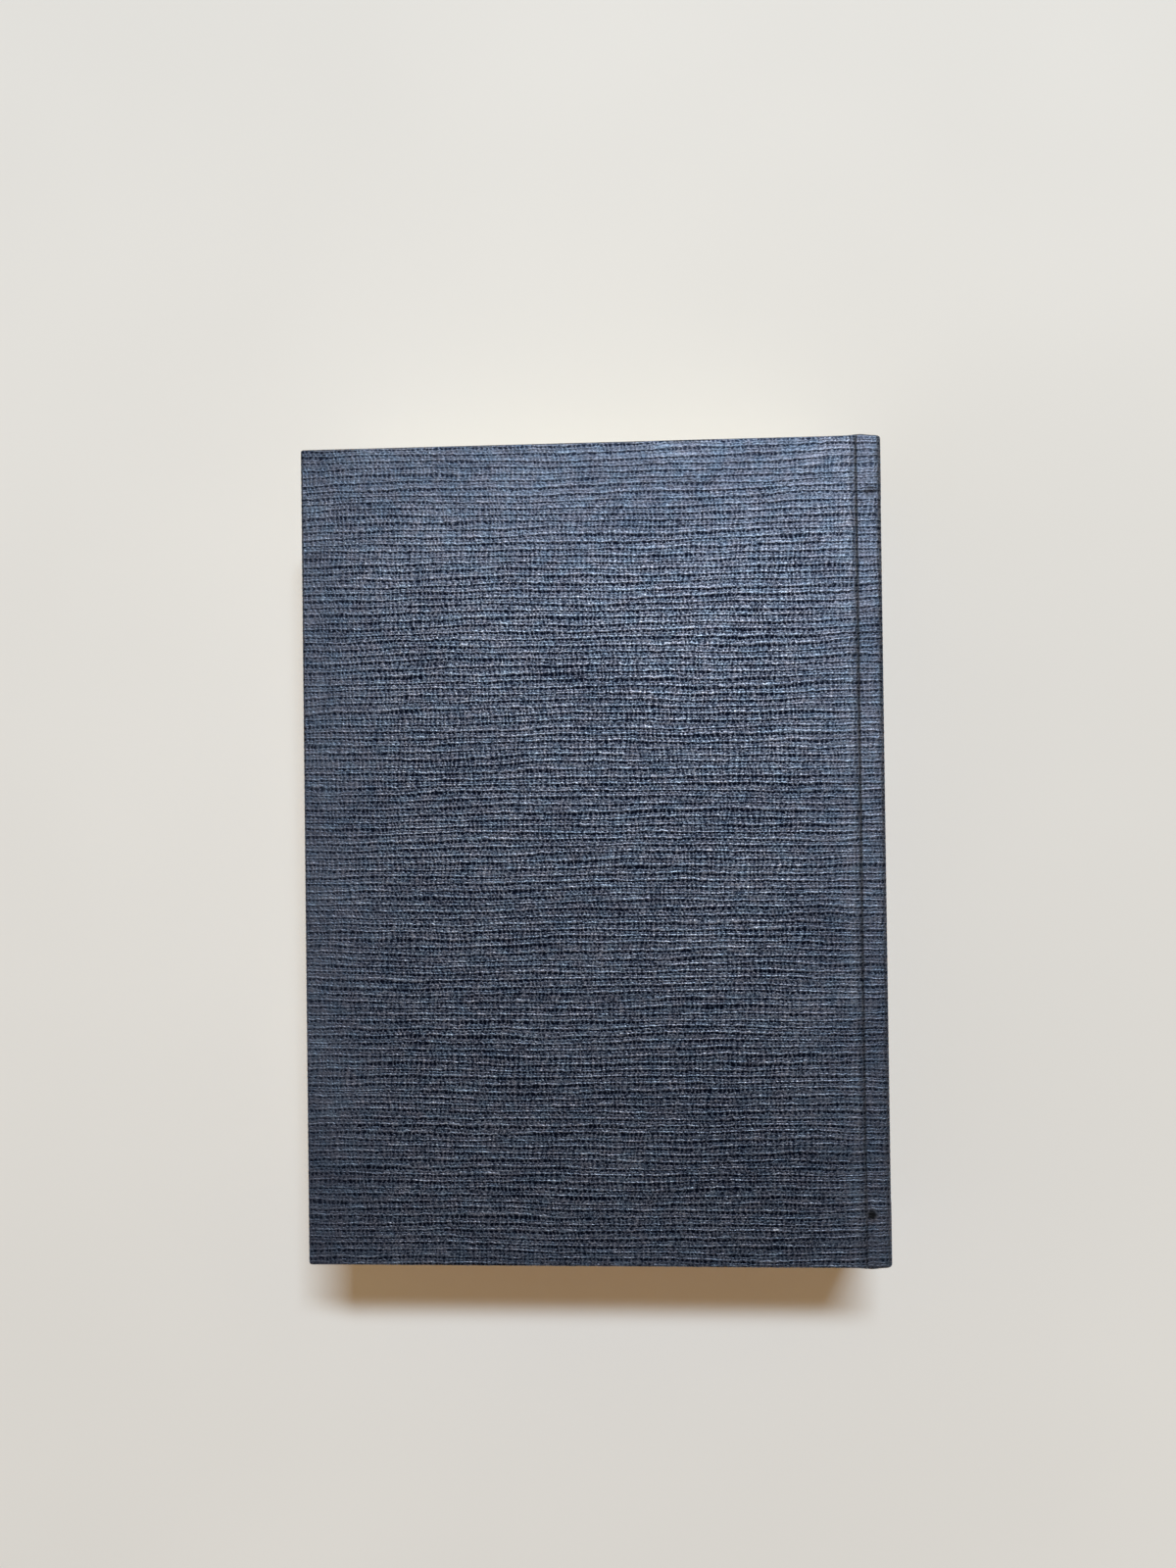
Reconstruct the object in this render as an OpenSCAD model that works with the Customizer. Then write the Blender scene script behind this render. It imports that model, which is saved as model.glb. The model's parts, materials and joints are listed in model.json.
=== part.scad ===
// Case-bound pocket journal lying closed on its lower cover.
// The origin is on the table under the middle of the book, +Y runs along the spine,
// +X points at the spine and +Z goes up. All sizes are in millimetres.

/* [Case] */
// Width of the closed case, from the fore edge to the spine
cover_w = 109; // [90:0.5:150]
// Height of the case along the spine
cover_h = 154; // [120:0.5:220]
// Thickness of each cover board
board_t = 2.6; // [2:0.1:3.5]
// Thickness of the stiff board in the spine
spine_board_t = 2; // [1:0.1:2]
// Thickness of the covering cloth
cloth_t = 0.6; // [0.5:0.05:0.8]
// Width of cloth folded in over the inner faces of the boards
turn_in_w = 14; // [8:0.5:20]
// Radius of the rounded cover corners
corner_r = 1.2; // [1:0.1:2]

/* [Joint] */
// Radius of the rounded spine shoulder about the line where a cover hinges
shoulder_r = 2.8; // [2.8:0.1:3.2]
// Distance from the spine face to the crease of the joint
crease_in = 4.6; // [4.4:0.1:4.8]
// How far round the shoulder the cloth goes before it turns down to the crease, in degrees
crown_a = 115; // [100:1:120]
// Gap that a swinging cover keeps from the shoulder
swing_gap = 0.3; // [0.2:0.05:0.5]

/* [Pages] */
// Thickness of the block of pages
block_t = 19; // [10:0.5:40]
// Width of the square, where the cover stands past the pages at the fore edge
fore_square = 3; // [2:0.1:5]
// Width of the square at the head and at the tail
end_square = 3; // [2:0.1:5]
// Thickness of one leaf of endpaper
paper_t = 0.18; // [0.1:0.01:0.25]
// Gap between a closed cover and the pages
cover_gap = 0.12; // [0.05:0.01:0.3]

/* [Spine lining] */
// Thickness of the gauze glued to the back of the pages
mull_t = 0.3; // [0.2:0.05:0.5]
// Distance from the head and the tail of the pages to the gauze
mull_inset = 9; // [6:0.5:20]
// Thickness of the paper liner over the gauze
liner_t = 0.35; // [0.2:0.05:0.5]
// Distance from the head and the tail of the pages to the liner
liner_inset = 1; // [0.5:0.5:5]
// Free space between the liner and the cloth folded in over the spine board
hollow_gap = 0.1; // [0.05:0.05:0.5]
// Length of cloth folded in at each end of the spine
spine_turn_in = 12; // [8:0.5:20]
// Radius of the bead of the head band and the tail band
band_r = 0.8; // [0.5:0.1:1.2]
// Length of the tape that holds each band to the back of the pages
band_tape = 8; // [4:0.5:9]

/* [Weave] */
// Distance between the thick threads that run across the cloth
rib_pitch = 1.3; // [1:0.05:2]
// Depth of the furrow between two thick threads
rib_depth = 0.16; // [0.05:0.01:0.25]
// Width of the furrow between two thick threads
rib_furrow = 0.55; // [0.3:0.05:0.7]
// How far a thick thread strays from its even place
rib_stray = 0.14; // [0:0.01:0.2]

/* [Hidden] */
$fn = 48;

// Reach of a cutting shape past the surface that it cuts
over = 1;
// Angle between neighbouring threads in the wave that makes them stray
stray_step = 137.5;

// Heights, from the table upwards
case_t = cloth_t + board_t;
cover_stack = case_t + cloth_t + paper_t;
page_z = cover_stack + cover_gap + paper_t;
book_t = 2 * page_z + block_t;
joint_stack = paper_t + cover_gap;

// Height of the pages, and of the endpapers that are trimmed with them
page_h = cover_h - 2 * end_square;

// Places across the book, from the spine face inwards
spine_x = cover_w / 2;
fore_x = -cover_w / 2;
spine_board_x = spine_x - cloth_t - spine_board_t;
flap_x = spine_board_x - cloth_t;
liner_x = flap_x - hollow_gap - liner_t;
page_x = liner_x - mull_t;
hinge_x = spine_x - shoulder_r;
cover_x = hinge_x - shoulder_r - swing_gap;
crease_x = spine_x - crease_in;
strip_x = cover_x + swing_gap;
page_fore_x = fore_x + fore_square;

// The lower half of the book is the upper half seen in this mirror plane
module lower_half() {
    translate([0, 0, book_t]) mirror([0, 0, 1]) children();
}

// A box from its lowest corner to its highest, even about the XZ plane
module slab(x0, x1, width_y, z0, z1) {
    translate([x0, -width_y / 2, z0]) cube([x1 - x0, width_y, z1 - z0]);
}

// A flat outline in X and Z drawn out along Y, even about the XZ plane
module along_spine(length) {
    translate([0, length / 2, 0]) rotate([90, 0, 0]) linear_extrude(length) children();
}

// A cover outline with its two fore corners rounded
module cover_outline(inset) {
    w = cover_x - fore_x - 2 * inset;
    h = cover_h - 2 * inset;
    r = corner_r - inset;
    translate([fore_x + inset, -h / 2]) union() {
        translate([r, 0]) square([w - r, h]);
        translate([0, r]) square([r * 2, h - 2 * r]);
        translate([r, r]) circle(r);
        translate([r, h - r]) circle(r);
    }
}

// One furrow between two threads, as a flat notch that points along +Y of its own frame
module furrow() {
    polygon([[-rib_furrow / 2, -over / 10], [rib_furrow / 2, -over / 10], [rib_furrow / 2, 0],
             [0, rib_depth], [-rib_furrow / 2, 0]]);
}

// Number of furrows on each side of the middle
rib_n = floor((cover_h / 2 - rib_pitch) / rib_pitch);
function rib_y(i) = (i + 0.5) * rib_pitch + rib_stray * sin(i * stray_step);

// Cloth surface seen along X: the furrows in the two big faces
module rib_section() {
    difference() {
        translate([-cover_h / 2, 0]) square([cover_h, book_t]);
        for (i = [-rib_n : rib_n - 1]) {
            translate([rib_y(i), 0]) furrow();
            translate([rib_y(i), book_t]) mirror([0, 1]) furrow();
        }
    }
}

// Cloth surface seen from above: the same furrows down the fore edge and the spine face
module rib_plan() {
    difference() {
        translate([fore_x, -cover_h / 2]) square([cover_w, cover_h]);
        for (i = [-rib_n : rib_n - 1]) {
            translate([fore_x, rib_y(i)]) rotate(-90) furrow();
            translate([spine_x, rib_y(i)]) rotate(90) furrow();
        }
    }
}

// Keeps of its children what lies inside the ribbed surface of the cloth
module ribbed() {
    intersection() {
        children();
        translate([fore_x - over, 0, 0]) rotate([90, 0, 90]) linear_extrude(cover_w + 2 * over) rib_section();
        translate([0, 0, -over]) linear_extrude(book_t + 2 * over) rib_plan();
    }
}

module text_block() {
    color([0.93, 0.90, 0.82])
        slab(page_fore_x, page_x, page_h, page_z, book_t - page_z);
}

// Free leaf of the endpaper on top of the pages
module flyleaf() {
    slab(page_fore_x, page_x, page_h, book_t - page_z, book_t - page_z + paper_t);
}

module upper_flyleaf() {
    color([0.95, 0.93, 0.86]) flyleaf();
}

module lower_flyleaf() {
    color([0.95, 0.93, 0.86]) lower_half() flyleaf();
}

// Gauze over the back of the pages, with its two edges turned on to the endpapers in the joints
module spine_mull() {
    mull_h = page_h - 2 * mull_inset;
    flange_z = book_t - page_z + paper_t;
    color([0.82, 0.80, 0.72]) union() {
        slab(page_x, liner_x, mull_h, page_z - paper_t - joint_stack, flange_z + joint_stack);
        slab(strip_x, page_x, mull_h, flange_z, flange_z + joint_stack);
        lower_half() slab(strip_x, page_x, mull_h, flange_z, flange_z + joint_stack);
    }
}

module spine_liner() {
    color([0.66, 0.52, 0.36])
        slab(liner_x, liner_x + liner_t, page_h - 2 * liner_inset, page_z, book_t - page_z);
}

// Bead across one end of the pages, with the tape that is glued under the liner
module band() {
    color([0.88, 0.87, 0.84]) union() {
        translate([liner_x - band_r, page_h / 2 + band_r, page_z]) cylinder(r = band_r, h = block_t);
        translate([page_x, page_h / 2 - band_tape, page_z]) cube([mull_t, band_tape + band_r, block_t]);
    }
}

module head_band() {
    band();
}

module tail_band() {
    mirror([0, 1, 0]) band();
}

// Quarter of a shoulder: what lies within a radius of the hinge line, above and outside it
module shoulder(r, from_x) {
    intersection() {
        translate([hinge_x, book_t - case_t]) circle(r);
        translate([from_x, book_t - case_t]) square([2 * r, r]);
    }
}

// Section of the spine down from its two shoulders, outside a given plane
module spine_section(r, from_x) {
    shoulder(r, from_x);
    translate([0, book_t]) mirror([0, 1]) shoulder(r, from_x);
    translate([from_x, case_t]) square([hinge_x + r - from_x, book_t - 2 * case_t]);
}

module spine_board() {
    color([0.62, 0.58, 0.50])
        along_spine(cover_h - 2 * cloth_t) spine_section(shoulder_r - cloth_t, spine_board_x);
}

// Section of the cloth over the upper shoulder, down to the crease and along the joint
module shoulder_cloth() {
    hinge_z = book_t - case_t;
    inner_r = shoulder_r - cloth_t;
    difference() {
        translate([hinge_x, hinge_z]) circle(shoulder_r);
        translate([hinge_x, hinge_z]) circle(inner_r);
        translate([hinge_x - 2 * shoulder_r, hinge_z - 2 * shoulder_r])
            square([4 * shoulder_r, 2 * shoulder_r]);
        polygon([[hinge_x, hinge_z],
                 [hinge_x + 3 * shoulder_r * cos(crown_a), hinge_z + 3 * shoulder_r * sin(crown_a)],
                 [hinge_x - 3 * shoulder_r, hinge_z + shoulder_r],
                 [hinge_x - 3 * shoulder_r, hinge_z]]);
    }
    polygon([[crease_x, hinge_z - cloth_t],
             [crease_x + cloth_t, hinge_z - cloth_t],
             [hinge_x + inner_r * cos(crown_a), hinge_z + inner_r * sin(crown_a)],
             [hinge_x + shoulder_r * cos(crown_a), hinge_z + shoulder_r * sin(crown_a)],
             [crease_x, hinge_z]]);
    translate([strip_x, hinge_z - cloth_t]) square([crease_x - strip_x, cloth_t]);
}

// Cloth over the spine, with its ends folded in over the spine board
module spine_cloth() {
    color([0.28, 0.31, 0.38]) ribbed() union() {
        along_spine(cover_h) {
            shoulder_cloth();
            translate([0, book_t]) mirror([0, 1]) shoulder_cloth();
            translate([spine_x - cloth_t, case_t]) square([cloth_t, book_t - 2 * case_t]);
        }
        for (end = [-1, 1]) {
            translate([0, end * (cover_h - cloth_t) / 2, 0]) along_spine(cloth_t)
                spine_section(shoulder_r - cloth_t / 2, flap_x);
            translate([flap_x, end * (cover_h - spine_turn_in) / 2, 0])
                slab(0, cloth_t, spine_turn_in, case_t, book_t - case_t);
        }
    }
}

module board() {
    translate([0, 0, book_t - case_t]) linear_extrude(board_t) cover_outline(cloth_t);
}

// Cloth round one board: outer face, four edges and the turn-ins on three sides
module cover_cloth() {
    ribbed() difference() {
        translate([0, 0, book_t - case_t - cloth_t]) linear_extrude(case_t + cloth_t) cover_outline(0);
        board();
        slab(fore_x + turn_in_w, cover_x + over, cover_h - 2 * turn_in_w,
             book_t - case_t - cloth_t - over, book_t - case_t);
    }
}

// Sheet pasted over the inner face of a cover, with a step down from the turn-ins
module pastedown() {
    top = book_t - case_t;
    difference() {
        slab(page_fore_x, cover_x, page_h, top - cloth_t - paper_t, top);
        difference() {
            slab(fore_x, cover_x + over, cover_h, top - cloth_t, top + over);
            slab(fore_x + turn_in_w, cover_x + 2 * over, cover_h - 2 * turn_in_w,
                 top - cloth_t - over, top + 2 * over);
        }
        slab(fore_x + turn_in_w + paper_t, cover_x + over, cover_h - 2 * turn_in_w - 2 * paper_t,
             top - cloth_t - paper_t - over, top - paper_t);
    }
}

module upper_board() {
    color([0.62, 0.58, 0.50]) board();
}

module upper_cloth() {
    color([0.28, 0.31, 0.38]) cover_cloth();
}

module upper_pastedown() {
    color([0.95, 0.93, 0.86]) pastedown();
}

module lower_board() {
    color([0.62, 0.58, 0.50]) lower_half() board();
}

module lower_cloth() {
    color([0.28, 0.31, 0.38]) lower_half() cover_cloth();
}

module lower_pastedown() {
    color([0.95, 0.93, 0.86]) lower_half() pastedown();
}

text_block();
upper_flyleaf();
lower_flyleaf();
spine_mull();
spine_liner();
head_band();
tail_band();
spine_board();
spine_cloth();
upper_board();
upper_cloth();
upper_pastedown();
lower_board();
lower_cloth();
lower_pastedown();
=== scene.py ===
"""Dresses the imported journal: case cloth, leaves, endpapers, bands, table, light and camera."""

import json
import logging
import math
from dataclasses import dataclass, field
from enum import Enum
from typing import Any, Callable

import bmesh
import bpy
import numpy as np
from mathutils import Euler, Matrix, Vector

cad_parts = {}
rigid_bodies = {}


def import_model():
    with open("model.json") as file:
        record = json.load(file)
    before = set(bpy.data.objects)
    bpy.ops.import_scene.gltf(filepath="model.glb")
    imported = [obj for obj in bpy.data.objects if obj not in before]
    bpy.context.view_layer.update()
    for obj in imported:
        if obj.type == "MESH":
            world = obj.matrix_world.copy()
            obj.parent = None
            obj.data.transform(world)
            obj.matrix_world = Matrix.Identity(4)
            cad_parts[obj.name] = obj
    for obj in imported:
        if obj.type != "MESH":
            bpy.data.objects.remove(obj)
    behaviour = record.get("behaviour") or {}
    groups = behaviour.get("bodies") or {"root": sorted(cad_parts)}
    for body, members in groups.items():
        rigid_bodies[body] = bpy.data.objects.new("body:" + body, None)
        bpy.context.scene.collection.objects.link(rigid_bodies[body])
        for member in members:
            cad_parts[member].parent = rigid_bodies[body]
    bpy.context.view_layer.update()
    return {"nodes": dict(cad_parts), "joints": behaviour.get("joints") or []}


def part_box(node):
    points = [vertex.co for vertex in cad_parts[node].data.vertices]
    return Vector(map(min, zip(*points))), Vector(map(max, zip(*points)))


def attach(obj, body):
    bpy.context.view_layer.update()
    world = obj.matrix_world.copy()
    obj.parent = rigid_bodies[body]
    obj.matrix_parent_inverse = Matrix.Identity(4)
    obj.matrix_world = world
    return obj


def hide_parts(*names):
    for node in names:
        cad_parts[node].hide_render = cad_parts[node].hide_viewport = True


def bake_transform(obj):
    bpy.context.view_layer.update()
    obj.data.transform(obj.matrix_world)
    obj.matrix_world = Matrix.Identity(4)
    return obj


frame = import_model()

log = logging.getLogger("journal")
MM = 0.001
Point = tuple[float, float]
Place = tuple[float, float, float]
Colour = tuple[float, float, float]
Stops = list[tuple[float, Colour]]


# Shader maths

class Shade:
    """A shader socket that adds Math nodes when it is used in an expression."""

    def __init__(self, tree: bpy.types.NodeTree, socket: bpy.types.NodeSocket) -> None:
        """Wraps a socket.

        Args:
            tree: The node tree that the socket is in.
            socket: The output socket.
        """
        self.tree = tree
        self.socket = socket

    def _math(self, operation: str, *values: Any) -> "Shade":
        """Adds a Math node.

        Args:
            operation: The Math node's operation.
            values: Its inputs, as numbers or wrapped sockets.

        Returns:
            The node's output.
        """
        node = self.tree.nodes.new("ShaderNodeMath")
        node.operation = operation
        for socket, value in zip(node.inputs, values):
            plug(self.tree, socket, value)
        return Shade(self.tree, node.outputs[0])

    def __add__(self, other: Any) -> "Shade":
        """Sum."""
        return self._math("ADD", self, other)

    def __radd__(self, other: Any) -> "Shade":
        """Sum with a number on the left."""
        return self._math("ADD", other, self)

    def __sub__(self, other: Any) -> "Shade":
        """Difference."""
        return self._math("SUBTRACT", self, other)

    def __rsub__(self, other: Any) -> "Shade":
        """Difference with a number on the left."""
        return self._math("SUBTRACT", other, self)

    def __mul__(self, other: Any) -> "Shade":
        """Product."""
        return self._math("MULTIPLY", self, other)

    def __rmul__(self, other: Any) -> "Shade":
        """Product with a number on the left."""
        return self._math("MULTIPLY", other, self)

    def __truediv__(self, other: Any) -> "Shade":
        """Quotient."""
        return self._math("DIVIDE", self, other)

    def __pow__(self, other: Any) -> "Shade":
        """Power."""
        return self._math("POWER", self, other)

    def sine(self) -> "Shade":
        """Sine of an angle in radians."""
        return self._math("SINE", self)

    def floor(self) -> "Shade":
        """Largest whole number below."""
        return self._math("FLOOR", self)

    def wave(self) -> "Shade":
        """Cosine wave from 0 to 1 with its crest at each whole number."""
        return self._math("COSINE", self * (2 * math.pi)) * 0.5 + 0.5

    def clamp(self) -> "Shade":
        """Value kept between 0 and 1."""
        return self._math("MINIMUM", self._math("MAXIMUM", self, 0.0), 1.0)

    def step(self, low: float, high: float) -> "Shade":
        """Smooth step from 0 at low to 1 at high.

        Args:
            low: Value at which the step starts.
            high: Value at which it ends.

        Returns:
            The stepped value.
        """
        node = self.tree.nodes.new("ShaderNodeMapRange")
        node.interpolation_type = "SMOOTHSTEP"
        plug(self.tree, node.inputs["Value"], self)
        plug(self.tree, node.inputs["From Min"], low)
        plug(self.tree, node.inputs["From Max"], high)
        return Shade(self.tree, node.outputs["Result"])


def plug(tree: bpy.types.NodeTree, socket: bpy.types.NodeSocket, value: Any) -> None:
    """Links a wrapped socket or sets a plain value.

    Args:
        tree: The tree that the socket is in.
        socket: The input socket.
        value: A Shade, a socket, a number or a tuple.
    """
    if isinstance(value, Shade):
        tree.links.new(value.socket, socket)
    elif isinstance(value, bpy.types.NodeSocket):
        tree.links.new(value, socket)
    elif isinstance(value, tuple) and socket.type == "RGBA":
        socket.default_value = (*value[:3], 1.0)
    else:
        socket.default_value = value


class Bench:
    """A shader node tree, with the few node makers that the finishes share."""

    def __init__(self, name: str, owner: Any = None) -> None:
        """Starts an empty material or clears another owner's tree.

        Args:
            name: The material's name.
            owner: What has the tree, where that isn't a new material.
        """
        self.owner = owner or bpy.data.materials.new(name)
        self.owner.use_nodes = True
        self.tree = self.owner.node_tree
        self.tree.nodes.clear()

    def node(self, kind: str, settings: dict[str, Any] | None = None,
             inputs: dict[Any, Any] | None = None) -> bpy.types.Node:
        """Adds any node.

        Args:
            kind: The node's type name, without its ShaderNode prefix.
            settings: Attributes set before its sockets; stops fills a ramp.
            inputs: Values or links by socket name.

        Returns:
            The node.
        """
        made = self.tree.nodes.new("ShaderNode" + kind)
        for key, value in (settings or {}).items():
            if key == "stops":
                fill_ramp(made.color_ramp, value)
            else:
                setattr(made, key, value)
        for key, value in (inputs or {}).items():
            plug(self.tree, made.inputs[key], value)
        return made

    def value(self, node: bpy.types.Node, output: str | int = 0) -> Shade:
        """Wraps one output of a node."""
        return Shade(self.tree, node.outputs[output])

    def axes(self, node: bpy.types.Node, output: str) -> tuple[Shade, Shade, Shade]:
        """Splits a coordinate output into its parts, in millimetres.

        Args:
            node: The node that gives the coordinate.
            output: The output's name.

        Returns:
            The three parts.
        """
        split = self.node("SeparateXYZ", inputs={"Vector": node.outputs[output]})
        return tuple(self.value(split, i) * (1 / MM) for i in range(3))

    def place(self) -> tuple[Shade, Shade, Shade]:
        """Place on the object, in millimetres."""
        return self.axes(self.node("TexCoord"), "Object")

    def mark(self, name: str) -> Shade:
        """Value that the mesh stores at each vertex under a name."""
        return self.value(self.node("Attribute", {"attribute_name": name}), "Fac")

    def noise(self, x: Any, y: Any, z: Any = 0.0, detail: float = 2.0,
              seed: float = 0.0) -> Shade:
        """Noise about 0.5 over coordinates that are already scaled.

        Args:
            x: First coordinate.
            y: Second coordinate.
            z: Third coordinate.
            detail: Octaves of noise.
            seed: Shift that makes this noise unlike the others.

        Returns:
            The noise.
        """
        place = self.node("CombineXYZ", inputs={"X": x, "Y": y, "Z": z})
        shift = (seed, seed * 1.7, seed * 2.3)
        moved = self.node("VectorMath", {"operation": "ADD"}, {0: place.outputs[0], 1: shift})
        made = self.node("TexNoise", {"noise_dimensions": "3D"},
                         {"Vector": moved.outputs[0], "Scale": 1.0, "Detail": detail,
                          "Roughness": 0.55})
        return self.value(made, "Fac")

    def ramp(self, value: Shade, stops: Stops) -> bpy.types.NodeSocket:
        """Colour ramp over a value.

        Args:
            value: The value from 0 to 1.
            stops: Place and linear colour of each stop.

        Returns:
            The colour output.
        """
        return self.node("ValToRGB", {"stops": stops}, {"Fac": value}).outputs["Color"]

    def mix(self, share: Any, first: Any, second: Any, blend: str = "MIX") -> bpy.types.NodeSocket:
        """Mixes two colours.

        Args:
            share: How much of the second colour shows.
            first: First colour.
            second: Second colour.
            blend: Blend type of the Mix node.

        Returns:
            The mixed colour.
        """
        made = self.tree.nodes.new("ShaderNodeMix")
        made.data_type = "RGBA"
        made.blend_type = blend
        plug(self.tree, made.inputs["Factor"], share)
        plug(self.tree, made.inputs[6], first)
        plug(self.tree, made.inputs[7], second)
        return made.outputs[2]

    def bump(self, height: Shade, depth: float, strength: float = 1.0) -> bpy.types.NodeSocket:
        """Bump from a height.

        Args:
            height: Height from 0 to 1.
            depth: Depth that 1 stands for, in metres.
            strength: How much of the bump shows.

        Returns:
            The normal output.
        """
        made = self.node("Bump", inputs={"Strength": strength, "Distance": depth, "Height": height})
        return made.outputs["Normal"]

    def finish(self, constants: dict[str, Any], links: dict[str, Any]) -> bpy.types.Material:
        """Adds the shader and the output.

        Args:
            constants: Shader sockets that are the same all over.
            links: Shader sockets that vary.

        Returns:
            The finished material.
        """
        shader = self.node("BsdfPrincipled", inputs={**constants, **links})
        self.node("OutputMaterial", inputs={"Surface": shader.outputs[0]})
        return self.owner


def fill_ramp(ramp: bpy.types.ColorRamp, stops: Stops) -> None:
    """Sets a ramp's stops.

    Args:
        ramp: The colour ramp.
        stops: Place and linear colour of each stop.
    """
    while len(ramp.elements) < len(stops):
        ramp.elements.new(1.0)
    for element, (place, colour) in zip(ramp.elements, stops):
        element.position = place
        element.color = (*colour, 1.0)


def linear(red: int, green: int, blue: int) -> Colour:
    """Linear colour of three display values from 0 to 255."""
    return tuple(c / 12.92 if c <= 0.04045 else ((c + 0.055) / 1.055) ** 2.4
                 for c in (red / 255, green / 255, blue / 255))


# Weave that the mesh and the finish share

@dataclass(frozen=True)
class Weave:
    """Places of the threads in the case cloth, in millimetres of cloth."""

    rib_pitch: float = 1.3
    thread_pitch: float = 0.87
    rib_height: float = 0.035
    sways: tuple[tuple[float, float, float, float], ...] = (
        (0.20, 0.07, 0.050, 0.4), (0.13, -0.15, 0.170, 2.1), (0.05, 0.43, -0.310, 4.0),
        (0.14, 0.05, 0.730, 1.2), (0.02, 0.83, 0.570, 5.2))

    def sway(self, u: Any, v: Any, sine: Callable[[Any], Any]) -> Any:
        """Sideways stray of a rib from its even place.

        Args:
            u: Place along the ribs, in millimetres.
            v: Place across the ribs, in millimetres.
            sine: Sine function for the kind of value that u and v are.

        Returns:
            The stray in millimetres.
        """
        total: Any = 0.0
        for size, along, across, phase in self.sways:
            total = total + sine(u * along + v * across + phase) * size
        return total

    def relief(self, u: np.ndarray, v: np.ndarray) -> np.ndarray:
        """Height of the ribs for the mesh.

        Args:
            u: Place along the ribs, in millimetres.
            v: Place across the ribs, in millimetres.

        Returns:
            Height above the mean surface, in millimetres.
        """
        turn = (v + self.sway(u, v, np.sin)) / self.rib_pitch * 2 * math.pi
        swell = 0.75 + 0.25 * np.sin(u * 0.61 + v * 1.9) * np.sin(v * 0.37 - u * 0.23)
        return self.rib_height * 0.5 * (np.cos(turn) + 0.25 * np.cos(2 * turn)) * swell


# Finishes

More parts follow.
